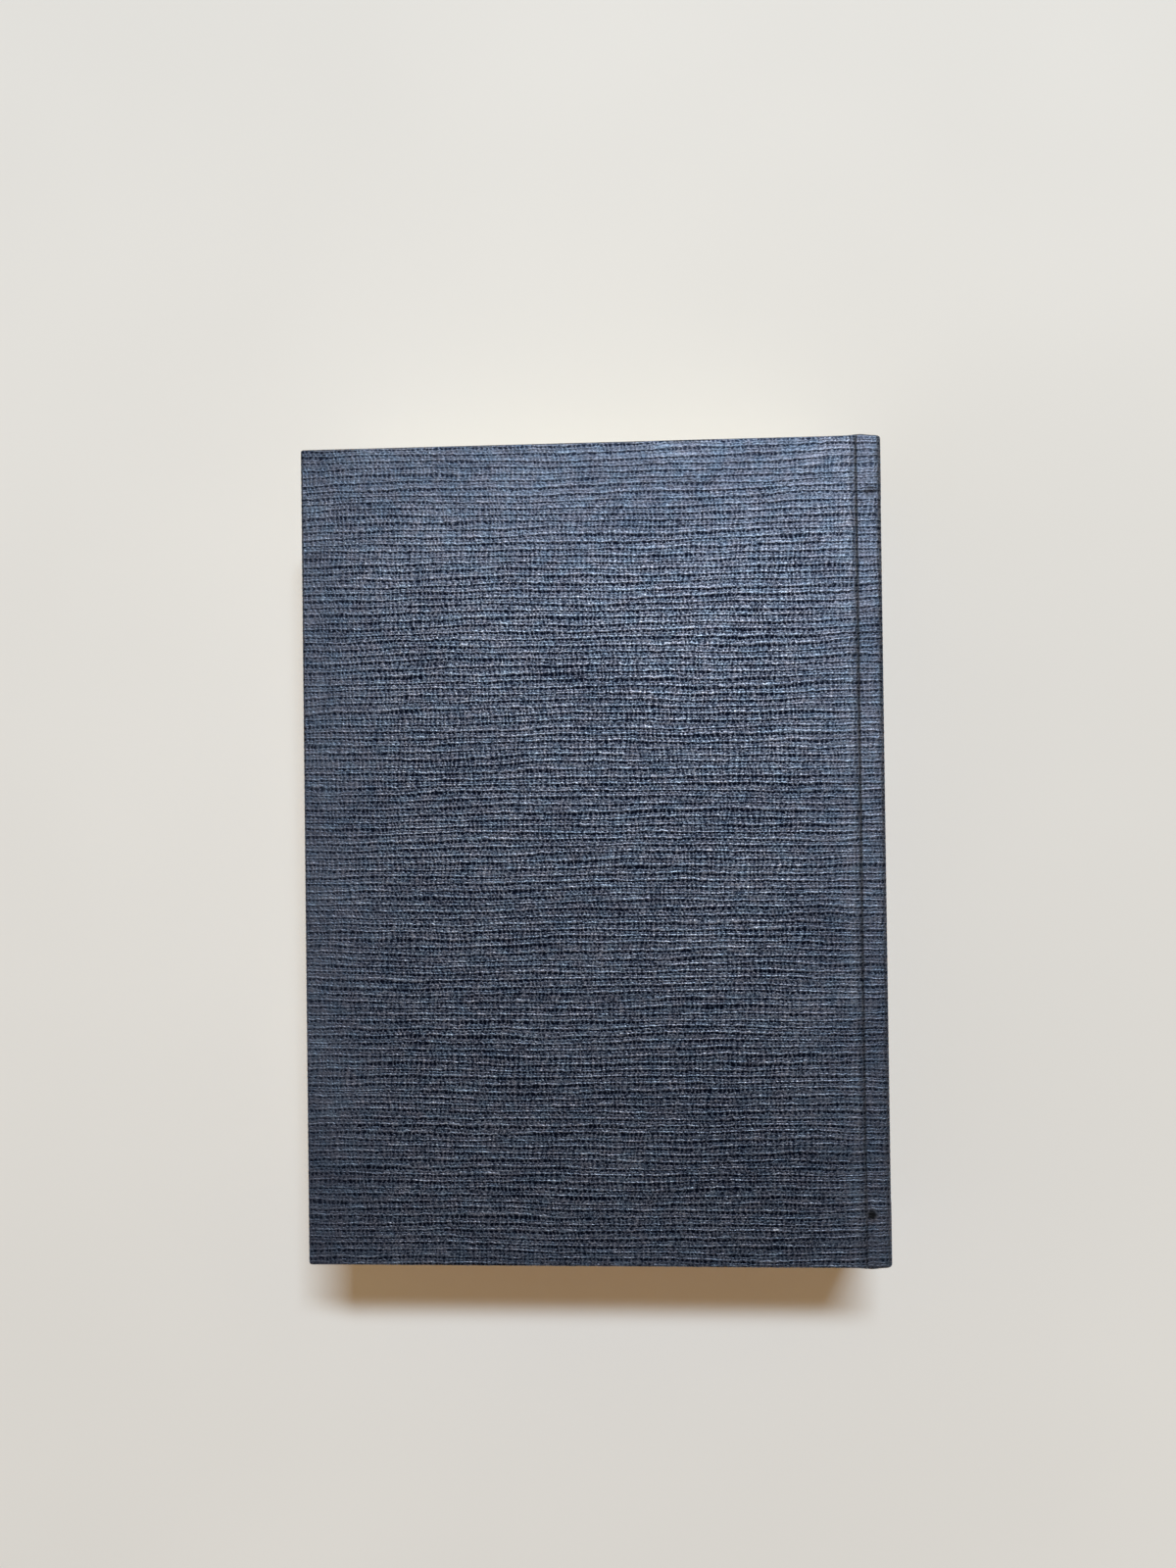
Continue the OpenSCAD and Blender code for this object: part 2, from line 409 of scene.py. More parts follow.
@dataclass(frozen=True)
class BookCloth:
    """Navy linen-look cloth: thin pale threads that frame dark pits, with a satin shine.

    The pale line on the lit side of each rib is partly painted highlight, and the dark pits on
    the other side of it are partly painted shade.
    """

    weave: Weave = Weave()
    # The darkest stop is dark navy and partly painted shade in the gaps; the lightest is pale
    # thread and partly painted highlight on the ribs.
    pit: Colour = linear(12, 17, 34)
    hollow: Colour = linear(53, 60, 78)
    ground: Colour = linear(118, 122, 139)
    thread: Colour = linear(180, 180, 192)
    crest: Colour = linear(222, 219, 220)
    # Colour of the soil speck, which also paints shade into the dent at the head.
    soil: Colour = linear(10, 11, 16)
    shine: float = 0.93
    rough: float = 0.51
    relief: float = 0.10
    mean_tone: float = 0.45
    rib_thread_and_highlight_tone: float = 0.17
    between_tone: float = 0.09
    upright_tone: float = 0.06
    yarn_tone: float = 0.18
    pit_navy_and_shade_tone: float = 0.66
    fibre_tone: float = 1.15
    fleck_tone: float = 0.85
    cloud_tone: float = 0.20
    drift_tone: float = 0.14
    slub_tone: float = 0.4
    # Painted highlight along the board's edge beside the groove.
    edge_highlight_tone: float = 0.06
    calm_tone: float = 0.36
    calming: float = 0.7
    slubs: tuple[tuple[float, float, float], ...] = (
        (-18.8, -41.7, 0.8), (-2.3, -56.2, 1.0), (33.0, -69.8, 0.8))

    def _threads(self, b: Bench, u: Shade, v: Shade) -> tuple[Shade, Shade]:
        """Tone and height of the threads.

        Args:
            b: The material's bench.
            u: Place along the ribs, in millimetres.
            v: Place across the ribs, in millimetres.

        Returns:
            Tone about the mean tone, and height from 0 to 1.
        """
        stray = self.weave.sway(u, v, lambda angle: angle.sine())
        ripple = b.noise(u * 0.9, v * 1.3, seed=3.0) - 0.5
        bunch = b.noise(u * 0.06, v * 0.7, seed=5.0, detail=1.0) - 0.5
        row = (v + stray + bunch * 1.1 + ripple * 0.7) / self.weave.rib_pitch
        lean = b.noise(u * 0.25, v * 0.12, seed=7.0) - 0.5
        jog = b.noise(u * 0.8, v * 2.4, seed=9.0) - 0.5
        column = (u + lean * 2.4 + jog * 1.0) / self.weave.thread_pitch
        slub = b.noise(u * 0.45, v * 1.7, seed=11.0, detail=3.0)
        wisp = b.noise(u * 0.7, v * 2.2, seed=13.0, detail=3.0)
        warp_show = b.noise(u * 1.1, v * 0.5, seed=17.0)
        depth = b.noise(u * 0.6, v * 1.1, seed=19.0, detail=3.0)
        # The main line is a pale thread on the lit side of each rib, partly painted highlight.
        main = (row - 0.05).wave() ** 6.0 * slub.step(0.2, 0.75)
        second = (row + 0.48).wave() ** 6.0 * wisp.step(0.3, 0.75)
        upright = column.wave() ** 4.0 * warp_show.step(0.3, 0.7)
        line = (row * 2.0 + 0.96).floor()
        shift = b.value(b.node("TexWhiteNoise", {"noise_dimensions": "1D"}, {"W": line}), "Value")
        bridge = 0.58 + 0.36 * warp_show.step(0.2, 0.7)
        gap = 1.0 - (column + shift * 0.5).wave() ** 1.3 * bridge
        # The furrows put dark gaps on the side of each rib away from the light: dark navy between
        # threads, partly painted shade.
        furrow = (row + 0.23).wave() ** 2.6 * 1.15 + (row + 0.73).wave() ** 3.0 * 0.55
        pits = furrow * gap * (depth * 1.8 + 0.1)
        yarn = b.noise(u * 0.16, v * 2.0, seed=21.0, detail=2.0) - 0.5
        tone = (self.mean_tone + main * self.rib_thread_and_highlight_tone + second * self.between_tone
                + upright * self.upright_tone + yarn * self.yarn_tone - pits * self.pit_navy_and_shade_tone)
        height = (0.4 + main * 0.5 + second * 0.3 + upright * 0.12 - pits * 0.5).clamp()
        return tone, height

    def _slubs(self, b: Bench) -> Shade:
        """Where the few pale slubs lie on the upper cover.

        Args:
            b: The material's bench.

        Returns:
            Share of a slub, from 0 to 1.
        """
        x, y, z = b.place()
        share: Any = 0.0
        for place_x, place_y, size in self.slubs:
            off_x, off_y = (x - place_x) / (size * 0.8), (y - place_y) / (size * 0.4)
            share = share + (1.0 - (off_x * off_x + off_y * off_y)).step(0.0, 0.7)
        return share * z.step(20.0, 22.0)

    def material(self) -> bpy.types.Material:
        """Builds the cloth's material.

        Returns:
            The material.
        """
        b = Bench("book_cloth")
        u, v, _ = b.axes(b.node("UVMap", {"uv_map": "cloth"}), "UV")
        tone, height = self._threads(b, u, v)
        pressed, soiled, rubbed = (b.mark(name) for name in ("pressed", "soiled", "rubbed"))
        fibre = b.noise(u * 3.0, v * 5.0, seed=23.0, detail=3.0)
        fleck = b.noise(u * 3.6, v * 3.6, seed=29.0, detail=1.0)
        cloud = b.noise(u * 0.07, v * 0.09, seed=31.0, detail=4.0)
        drift = b.noise(u * 0.35, v * 0.5, seed=33.0, detail=2.0)
        keep = 1.0 - pressed * self.calming
        fuzz = (fibre - 0.5) * self.fibre_tone + (fleck - 0.5) * self.fleck_tone
        shade = (tone - self.calm_tone) * keep + self.calm_tone + fuzz * keep
        # The term from the mesh's edge mark paints a highlight along the board's edge beside the
        # groove.
        shade = (shade + (cloud - 0.5) * self.cloud_tone + (drift - 0.5) * self.drift_tone
                 + self._slubs(b) * self.slub_tone + rubbed * self.edge_highlight_tone).clamp()
        colour = b.ramp(shade, [(0.0, self.pit), (0.2, self.hollow), (0.42, self.ground),
                                (0.72, self.thread), (1.0, self.crest)])
        tint = b.noise(u * 0.30, v * 0.42, seed=37.0, detail=3.0)
        cast = b.ramp(tint, [(0.36, (1.0, 0.925, 0.91)), (0.5, (0.95, 0.95, 0.95)),
                             (0.64, (0.85, 0.96, 1.0))])
        colour = b.mix(0.85, colour, cast, "MULTIPLY")
        # Mixes in the soil speck and the painted shade of the dent.
        colour = b.mix(soiled, colour, self.soil)
        return b.finish(
            {"Specular IOR Level": 0.2},
            {"Base Color": colour, "Metallic": self.shine * (1.0 - soiled),
             "Roughness": self.rough + (0.5 - shade) * 0.12,
             "Normal": b.bump(height, self.relief * MM)})


@dataclass(frozen=True)
class Paper:
    """Uncoated paper with faint fibres; leaves show as lines where cut is set."""

    name: str
    colour: Colour
    cut: bool = False

    def material(self) -> bpy.types.Material:
        """Builds the paper's material.

        Returns:
            The material.
        """
        b = Bench(self.name)
        x, y, z = b.place()
        fibre = b.noise(x * 0.8, y * 0.8, z * 0.8, detail=4.0, seed=2.0)
        tooth = b.noise(x * 5.0, y * 5.0, z * 5.0, detail=2.0, seed=5.0)
        shade = fibre * 0.5 + tooth * 0.5
        height = tooth
        if self.cut:
            leaf = b.noise(x * 0.02, y * 0.02, z * 6.0, detail=2.0, seed=8.0)
            band = b.noise(x * 0.01, y * 0.01, z * 0.9, detail=1.0, seed=9.0)
            shade = shade * 0.3 + leaf * 0.5 + band * 0.2
            height = leaf
        dim = tuple(c * 0.78 for c in self.colour)
        colour = b.mix(shade.step(0.3, 0.7), dim, self.colour)
        return b.finish({"Specular IOR Level": 0.3},
                        {"Base Color": colour, "Roughness": 0.85 - shade * 0.15,
                         "Normal": b.bump(height, 0.04 * MM, 0.6)})


@dataclass(frozen=True)
class Board:
    """Grey board with flecks of pulp."""

    name: str
    colour: Colour

    def material(self) -> bpy.types.Material:
        """Builds the board's material.

        Returns:
            The material.
        """
        b = Bench(self.name)
        x, y, z = b.place()
        fleck = b.noise(x * 1.6, y * 1.6, z * 4.0, detail=5.0, seed=4.0)
        dark = tuple(c * 0.7 for c in self.colour)
        colour = b.mix(fleck.step(0.35, 0.65), dark, self.colour)
        return b.finish({"Specular IOR Level": 0.3},
                        {"Base Color": colour, "Roughness": 0.95 - fleck * 0.1,
                         "Normal": b.bump(fleck, 0.08 * MM, 0.7)})


@dataclass(frozen=True)
class Gauze:
    """Open cotton gauze over glue, with its flat size before it was folded round the pages."""

    pitch: float = 0.9
    flat: Point = (23.3 * MM, 130 * MM)

    def material(self) -> bpy.types.Material:
        """Builds the gauze's material.

        Returns:
            The material.
        """
        b = Bench("gauze")
        x, y, z = b.place()
        mesh = ((y / self.pitch).wave() ** 3.0 + ((z + x) / self.pitch).wave() ** 3.0).clamp()
        fuzz = b.noise(x * 3.0, y * 3.0, z * 3.0, detail=3.0, seed=6.0)
        colour = b.mix(mesh * fuzz * 1.6, linear(150, 140, 116), linear(226, 221, 206))
        return b.finish({"Specular IOR Level": 0.3},
                        {"Base Color": colour, "Roughness": 0.95 - mesh * 0.1,
                         "Normal": b.bump(mesh, 0.15 * MM, 0.8)})


@dataclass(frozen=True)
class BandCotton:
    """Sewn cotton of the bands, in two colours by turns."""

    pitch: float = 2.0

    def material(self) -> bpy.types.Material:
        """Builds the cotton's material.

        Returns:
            The material.
        """
        b = Bench("band_cotton")
        x, y, z = b.place()
        stripe = (z / self.pitch).wave().step(0.4, 0.6)
        fuzz = b.noise(x * 4.0, y * 4.0, z * 4.0, detail=3.0, seed=12.0)
        pale = b.mix(fuzz, linear(196, 190, 176), linear(232, 228, 216))
        navy = b.mix(fuzz, linear(34, 40, 62), linear(66, 74, 100))
        return b.finish({"Specular IOR Level": 0.3, "Sheen Weight": 0.2},
                        {"Base Color": b.mix(stripe, pale, navy), "Roughness": 0.9 - fuzz * 0.1,
                         "Normal": b.bump(fuzz, 0.05 * MM, 0.6)})


@dataclass(frozen=True)
class TableTop:
    """Pale matt table."""

    colour: Colour = (0.80, 0.80, 0.825)

    def material(self) -> bpy.types.Material:
        """Builds the table's material.

        Returns:
            The material.
        """
        b = Bench("table_top")
        x, y, _ = b.place()
        cloud = b.noise(x * 0.006, y * 0.006, detail=3.0, seed=1.0)
        dim = tuple(c * 0.96 for c in self.colour)
        colour = b.mix(cloud.step(0.3, 0.7), dim, self.colour)
        return b.finish({"Specular IOR Level": 0.2, "Roughness": 0.8}, {"Base Color": colour})


# Sizes read from the frame

class Side(Enum):
    """Which half of the book a piece belongs to."""

    UPPER = "upper"
    LOWER = "lower"


@dataclass(frozen=True)
class CaseSizes:
    """Sizes of the case in metres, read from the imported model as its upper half."""

    fore_x: float
    cover_x: float
    spine_x: float
    half_h: float
    top_z: float
    turn_z: float
    hinge_x: float
    hinge_z: float
    flap_x: float

    @classmethod
    def from_frame(cls) -> "CaseSizes":
        """Reads the sizes.

        Returns:
            The sizes of the upper half.
        """
        low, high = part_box("upper_cloth")
        _, spine_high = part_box("spine_cloth")
        board_low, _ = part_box("spine_board")
        _, board_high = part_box("upper_board")
        hinge = next(j for j in frame["joints"] if j["name"] == "upper_joint")["pos_m"]
        return cls(fore_x=low.x, cover_x=high.x, spine_x=spine_high.x, half_h=high.y,
                   top_z=high.z, turn_z=low.z, hinge_x=hinge[0], hinge_z=hinge[2],
                   flap_x=board_low.x - (high.z - board_high.z))

    @property
    def shoulder_r(self) -> float:
        """Radius of the rounded spine shoulder."""
        return self.spine_x - self.hinge_x

    @property
    def low_hinge_z(self) -> float:
        """Height of the lower hinge line."""
        return self.top_z - self.hinge_z


def smooth(share: np.ndarray) -> np.ndarray:
    """Smooth step of shares, which are first kept between 0 and 1."""
    t = np.clip(share, 0, 1)
    return t * t * (3 - 2 * t)


def curve_through(points: list[Point], at: np.ndarray) -> np.ndarray:
    """Smooth curve through points.

    Args:
        points: Points of the curve.
        at: Places on it, where a whole number is a point.

    Returns:
        One row of two coordinates for each place.
    """
    p = np.array([2 * np.array(points[0]) - np.array(points[1])] + [list(q) for q in points]
                 + [2 * np.array(points[-1]) - np.array(points[-2])], float)
    i = np.clip(np.floor(at).astype(int), 0, len(points) - 2)
    t = (at - i)[:, None]
    a, b, c, d = p[i], p[i + 1], p[i + 2], p[i + 3]
    return 0.5 * (2 * b + (c - a) * t + (2 * a - 5 * b + 4 * c - d) * t ** 2
                  + (3 * b - 3 * c + d - a) * t ** 3)


@dataclass
class Section:
    """Section of the case cloth: its outer line, and the inner line that it is turned in to."""

    outer: list[np.ndarray] = field(default_factory=list)
    inner: list[np.ndarray] = field(default_factory=list)

    def add(self, outer: np.ndarray, inner: np.ndarray, step: float) -> None:
        """Adds a stretch, thinned to even steps.

        Args:
            outer: Dense points of the outer line.
            inner: Points of the inner line that go with them.
            step: Wanted distance between the kept points.
        """
        lengths = np.concatenate([[0.0], np.cumsum(np.linalg.norm(np.diff(outer, axis=0), axis=1))])
        count = max(2, int(math.ceil(lengths[-1] / step)) + 1)
        wanted = np.linspace(0.0, lengths[-1], count)
        keep = slice(1, None) if self.outer else slice(None)
        for line, points in ((self.outer, outer), (self.inner, inner)):
            kept = [np.interp(wanted, lengths, points[:, k]) for k in (0, 1)]
            line.append(np.stack(kept, axis=1)[keep])

    def lines(self) -> tuple[np.ndarray, np.ndarray, np.ndarray]:
        """Joins the stretches.

        Returns:
            Outer line, inner line and the distance along the outer line.
        """
        outer, inner = np.concatenate(self.outer), np.concatenate(self.inner)
        along = np.concatenate([[0.0], np.cumsum(np.linalg.norm(np.diff(outer, axis=0), axis=1))])
        return outer, inner, along


def new_object(name: str, data: Any) -> bpy.types.Object:
    """Makes an object of any data and puts it in the scene.

    Args:
        name: Name of the object.
        data: Mesh, camera or light that it shows.

    Returns:
        The object.
    """
    made = bpy.data.objects.new(name, data)
    bpy.context.scene.collection.objects.link(made)
    return made


def mesh_object(name: str, vertices: Any, faces: list[Any], material: bpy.types.Material,
                smooth: bool = True) -> bpy.types.Object:
    """Makes an object of plain mesh data.

    Args:
        name: The object's name.
        vertices: Its vertices in metres.
        faces: Its faces as lists of vertex numbers.
        material: Its material.
        smooth: Whether its faces are shaded smooth.

    Returns:
        The object.
    """
    mesh = bpy.data.meshes.new(name)
    mesh.from_pydata([tuple(v) for v in vertices], [], faces)
    mesh.materials.append(material)
    mesh.polygons.foreach_set("use_smooth", [smooth] * len(mesh.polygons))
    mesh.update()
    return new_object(name, mesh)


def grid_quads(index: np.ndarray) -> list[list[int]]:
    """Faces between the vertices of a grid, from their numbers."""
    corners = [index[:-1, :-1], index[1:, :-1], index[1:, 1:], index[:-1, 1:]]
    return np.stack(corners, axis=-1).reshape(-1, 4).tolist()


def face_outwards(made: bpy.types.Object) -> None:
    """Turns the faces of a closed mesh outwards.

    Args:
        made: Object with the mesh.
    """
    work = bmesh.new()
    work.from_mesh(made.data)
    bmesh.ops.recalc_face_normals(work, faces=work.faces)
    work.to_mesh(made.data)
    work.free()
    made.data.update()


# Case cloth

@dataclass
class CaseCloth:
    """One cover's cloth with its joint, and on the upper side the cloth of the whole spine."""

    side: Side
    sizes: CaseSizes
    finish: bpy.types.Material
    weave: Weave = Weave()
    cloth: float = 0.45 * MM
    corner: float = 0.55 * MM
    edge: float = 0.5 * MM
    crease_in: float = 4.45 * MM
    crease_at: int = 6
    crown_deg: float = 102.4
    shoulder_power: float = 5.0
    cover_turn_in: float = 14 * MM
    spine_turn_in: float = 12 * MM
    face_step: float = 2.0 * MM
    joint_step: float = 0.3 * MM
    spine_step: float = 1.4 * MM
    across_step: float = 0.25 * MM
    edge_deg: tuple[float, ...] = (22.5, 45, 67.5, 90)
    turn_deg: tuple[float, ...] = (0, 30, 60, 90)
    corner_deg: tuple[float, ...] = (108, 126, 144, 162)
    thin_share: float = 0.45
    wall_shares: Point = (0.35, 0.65)
    arc_points: int = 120
    wall_points: int = 40
    lining_rise: Point = (0.8, 0.2)
    spine_from: Point = (0.6 * MM, 0.8 * MM)
    double_from: Point = (0.6 * MM, 1.2 * MM)
    bend_from: float = 0.5 * MM
    bend_past: float = 0.1 * MM
    cap_bulge: float = 0.32 * MM
    cap_in: float = 1.2 * MM
    cap_reach: float = 1.6 * MM
    end_lift: float = 0.06 * MM
    end_press: float = 0.7
    dent: float = 0.35 * MM
    dent_at: Point = (52.4 * MM, 66.2 * MM)
    dent_size: Point = (1.3 * MM, 0.9 * MM)
    # Share of the soil colour painted into the dent as shade.
    dent_shade: float = 0.25
    soil_at: Point = (50.75 * MM, -67.2 * MM)
    soil_size: Point = (1.05 * MM, 1.05 * MM)
    soil_gain: Point = (1.7, -0.2)
    lip_in: float = 0.5 * MM
    lip_reach: float = 0.7 * MM
    # Where the weave's colour is calm: the reach from both ends, the sides and the head.
    calm_spine: float = 0.35
    calm_most: float = 0.85
    calm_ends: Point = (10 * MM, 0.4)
    calm_side: float = 20 * MM
    calm_head: Point = (30 * MM, 1.1)
    # How far the face falls, in millimetres, at each place from the crease.
    falls: tuple[Point, ...] = (
        (-2.3, 0.0), (-1.7, 0.03), (-1.15, 0.09), (-0.7, 0.18), (-0.4, 0.28), (-0.17, 0.46),
        (0.0, 0.58), (0.15, 0.54), (0.36, 0.49), (0.7, 0.47))
    rim_drop: float = 0.88 * MM

    def joint_points(self) -> tuple[list[Point], list[Point]]:
        """Points of the joint, from the cover's flat face to the top of the shoulder.

        Returns:
            Outer points and the inner points that go with them.
        """
        s = self.sizes
        crease = s.spine_x - self.crease_in
        lift = math.radians(self.crown_deg)
        crown = (s.hinge_x + s.shoulder_r * math.cos(lift),
                 s.hinge_z + s.shoulder_r * math.sin(lift))
        outer = [(crease + x * MM, s.top_z - z * MM) for x, z in self.falls] + [crown]
        rim = s.hinge_z - self.rim_drop
        inner = [(crease - 2.3 * MM, s.turn_z), (crease - 1.4 * MM, s.turn_z - 0.1 * MM),
                 (crease - 0.8 * MM, rim + 0.1 * MM), (crease - 0.48 * MM, rim),
                 (crease - 0.28 * MM, rim), (crease - 0.12 * MM, rim), (crease, rim),
                 (crease + 0.2 * MM, rim + 0.2 * MM),
                 (crease + 0.5 * MM, rim + 0.5 * MM), (crease + 0.9 * MM, s.hinge_z + 0.2 * MM),
                 (s.flap_x, s.hinge_z + 0.8 * MM)]
        return outer, inner

    def section(self) -> Section:
        """Section from the cover's fore edge to the crease where the piece ends.

        Returns:
            The section.
        """
        s = self.sizes
        outer_points, inner_points = self.joint_points()
        whole = Section()
        start = s.fore_x + self.corner
        flat = np.linspace(0, 1, 50)[:, None]
        face = np.array([[start, s.top_z]]) * (1 - flat) + np.array([outer_points[0]]) * flat
        under = np.stack([face[:, 0], np.full(len(face), s.turn_z)], axis=1)
        whole.add(face, under, self.face_step)
        last = len(outer_points) - 1
        joint_end = last if self.side is Side.UPPER else self.crease_at
        at = np.linspace(0, joint_end, 40 * joint_end + 1)
        whole.add(curve_through(outer_points, at), curve_through(inner_points, at), self.joint_step)
        if self.side is Side.UPPER:
            self._add_spine(whole, outer_points, inner_points, last)
        return whole

    def _add_spine(self, whole: Section, outer_points: list[Point], inner_points: list[Point],
                   last: int) -> None:
        """Adds both shoulders, the spine face and the way down to the lower crease.

        Args:
            whole: The section so far.
            outer_points: Outer points of the upper joint.
            inner_points: Inner points of the upper joint.
            last: Number of the last of them.
        """
        s = self.sizes
        angles = np.radians(np.linspace(self.crown_deg, 0, self.arc_points))
        power = np.where(angles < math.pi / 2, 2 / self.shoulder_power, 1.0)
        across, rise = np.cos(angles), np.sin(angles)
        arc = np.stack([s.hinge_x + s.shoulder_r * np.sign(across) * np.abs(across) ** power,
                        s.hinge_z + s.shoulder_r * np.abs(rise) ** power], axis=1)
        first_rise, last_rise = self.lining_rise
        fall = np.linspace(first_rise, last_rise, len(angles)) * MM
        behind = np.stack([np.full(len(arc), s.flap_x), s.hinge_z + fall], axis=1)
        whole.add(arc, behind, self.joint_step)
        down = np.linspace(0, 1, self.wall_points)
        wall_z = s.hinge_z + (s.low_hinge_z - s.hinge_z) * down
        wall = np.stack([np.full(len(down), s.spine_x), wall_z], axis=1)
        top, low = s.hinge_z + last_rise * MM, s.low_hinge_z - last_rise * MM
        flap = np.stack([np.full(len(down), s.flap_x), top + (low - top) * down], axis=1)
        whole.add(wall, flap, self.spine_step)

        def flipped(line: np.ndarray) -> np.ndarray:
            """Mirrors a line.

            Args:
                line: Line in the upper half.

            Returns:
                The same line in the lower half, run backwards.
            """
            turned = line[::-1].copy()
            turned[:, 1] = s.top_z - turned[:, 1]
            return turned

        whole.add(flipped(arc), flipped(behind), self.joint_step)
        at = np.linspace(self.crease_at, last, 40 * (last - self.crease_at) + 1)
        whole.add(flipped(curve_through(outer_points, at)),
                  flipped(curve_through(inner_points, at)), self.joint_step)

    def rim_profile(self, depth: np.ndarray,
                    reach: np.ndarray) -> tuple[np.ndarray, np.ndarray, int]:
        """Way of the cloth over an edge, round to its turned-in end and back inside.

        Args:
            depth: Distance from the outer to the inner line, for each column.
            reach: How far the cloth is turned in, for each column.

        Returns:
            Outward distances and depths, one row a ring, and the number of rings that show weave.
        """
        edge = np.minimum(self.edge, self.thin_share * depth)
        cloth = np.minimum(self.cloth, self.thin_share * depth)
        full = np.full_like(depth, self.corner)
        rings = [((full - edge) * 0.5, depth * 0), (full - edge, depth * 0)]
        for angle in np.radians(self.edge_deg):
            rings.append((full - edge + edge * math.sin(angle), edge * (1 - math.cos(angle))))
        rings += [(full, depth * share) for share in self.wall_shares]
        for angle in np.radians(self.turn_deg):
            rings.append((full - edge + edge * math.cos(angle),
                          depth - edge + edge * math.sin(angle)))
        woven = len(rings)
        rings += [(full - reach, depth), (full - reach, depth - cloth),
                  (full - cloth, depth - cloth), (full - cloth, cloth)]
        outward = np.stack([r[0] for r in rings])
        inward = np.stack([r[1] for r in rings])
        return outward, inward, woven

    def build(self) -> bpy.types.Object:
        """Builds the cloth as one closed mesh.

        Returns:
            The cloth's object, in its place.
        """
        s = self.sizes
        outer, inner, along = self.section().lines()
        rows = len(outer)
        base_y = s.half_h - self.corner
        columns = int(round(2 * base_y / self.across_step))
        ys = np.linspace(base_y, -base_y, columns + 1)
        grid = np.zeros((rows, columns + 1, 3))
        grid[:, :, 0] = outer[:, 0:1]
        grid[:, :, 1] = ys
        grid[:, :, 2] = outer[:, 1:2]
        cloth_uv = np.zeros((rows, columns + 1, 2))
        cloth_uv[:, :, 0] = along[:, None]
        cloth_uv[:, :, 1] = ys
        index = np.arange(rows * (columns + 1)).reshape(rows, columns + 1)

        base, way, uv_way, depth_way, depth, reach = self._rim_columns(outer, inner, ys, index)
        outward, inward, woven = self.rim_profile(depth, reach)
        points = grid.reshape(-1, 3)
        flat_uv = cloth_uv.reshape(-1, 2)
        origin = points[base]
        first = len(points)
        rings = (origin[None] + way[None] * outward[:, :, None]
                 + depth_way[None] * inward[:, :, None])
        steps = np.diff(np.concatenate([np.zeros((1, len(base), 2)),
                                        np.stack([outward, inward], axis=2)]), axis=0)
        travelled = np.cumsum(np.linalg.norm(steps, axis=2), axis=0)
        ring_uv = flat_uv[base][None] + uv_way[None] * travelled[:, :, None]
        vertices = np.concatenate([points, rings.reshape(-1, 3)])
        uvs = np.concatenate([flat_uv, ring_uv.reshape(-1, 2)])
        ring_index = first + np.arange(len(rings) * len(base)).reshape(len(rings), len(base))

        faces: list[Any] = grid_quads(index)
        levels = [base] + list(ring_index)
        for upper, lower in zip(levels[:-1], levels[1:]):
            for j in range(len(base) - 1):
                quad = [upper[j], upper[j + 1], lower[j + 1], lower[j]]
                faces.append([int(q) for q in dict.fromkeys(quad)])
        faces += self._closing(ring_index, index, rows)
        woven_count = first + woven * len(base)
        return self._finish_mesh(vertices, uvs, faces, woven_count)

    def _rim_columns(self, outer: np.ndarray, inner: np.ndarray, ys: np.ndarray,
                     index: np.ndarray) -> tuple[np.ndarray, ...]:
        """Columns of the rim: along the head, down the fore edge and along the tail.

        Args:
            outer: Outer line of the section.
            inner: Inner line of the section.
            ys: Places of the grid's columns.
            index: Numbers of the grid's vertices.

        Returns:
            Base vertex, outward way, way in cloth, way inwards, depth and reach of each column.
        """
        s = self.sizes
        rows = len(outer)
        bases, ways, depth_ways, depths, reaches = [], [], [], [], []

        def column(row: int, number: int, way: Point, reach: float) -> None:
            """Adds one column at a grid vertex.

            Args:
                row: Row of the vertex.
                number: Its place in the row.
                way: Outward way, along x and y.
                reach: How far the cloth is turned in there.
            """
            gap = inner[row] - outer[row]
            length = float(np.linalg.norm(gap))
            bases.append(int(index[row, number]))
            ways.append((way[0], way[1], 0.0))
            depth_ways.append((gap[0] / length, 0.0, gap[1] / length))
            depths.append(length)
            reaches.append(reach)

        def end_reach(row: int) -> float:
            """How far the cloth is turned in at the head or the tail.

            Args:
                row: Row of the grid.

            Returns:
                The reach.
            """
            x = outer[row, 0]
            share = min(1.0, max(0.0, (x - s.cover_x) / MM))
            wanted = self.cover_turn_in + (self.spine_turn_in - self.cover_turn_in) * share
            return min(wanted, x - s.fore_x) if row < rows // 2 or x < s.cover_x else wanted

        last = index.shape[1] - 1
        for row in range(rows - 1, -1, -1):
            column(row, 0, (0.0, 1.0), end_reach(row))
        for angle in np.radians(self.corner_deg):
            column(0, 0, (math.cos(angle), math.sin(angle)), self.corner)
        for number, y in enumerate(ys):
            column(0, number, (-1.0, 0.0), min(self.cover_turn_in, s.half_h - abs(y)))
        for angle in np.radians([90 + degrees for degrees in self.corner_deg]):
            column(0, last, (math.cos(angle), math.sin(angle)), self.corner)
        for row in range(rows):
            column(row, last, (0.0, -1.0), end_reach(row))
        way = np.array(ways)
        return (np.array(bases), way, way[:, :2], np.array(depth_ways), np.array(depths),
                np.array(reaches))

    def _closing(self, rings: np.ndarray, index: np.ndarray, rows: int) -> list[list[int]]:
        """Faces of the cloth's inner side and of its end in the crease.

        Args:
            rings: Vertex numbers of the rim, one row a ring.
            index: Vertex numbers of the grid.
            rows: Number of rows in the grid.

        Returns:
            The faces.
        """
        inside = rings[-1]
        total = len(inside)
        head = [int(inside[rows - 1 - row]) for row in range(rows)]
        tail = [int(inside[total - rows + row]) for row in range(rows)]
        faces = [[head[row], head[row + 1], tail[row + 1], tail[row]] for row in range(1, rows - 1)]
        front = [int(v) for v in inside[rows - 2:total - rows + 2]]
        faces.append(front)
        end = [int(v) for v in index[rows - 1]]
        end += [int(ring[total - 1]) for ring in rings]
        end += [int(ring[0]) for ring in rings[::-1]]
        faces.append(end)
        return faces

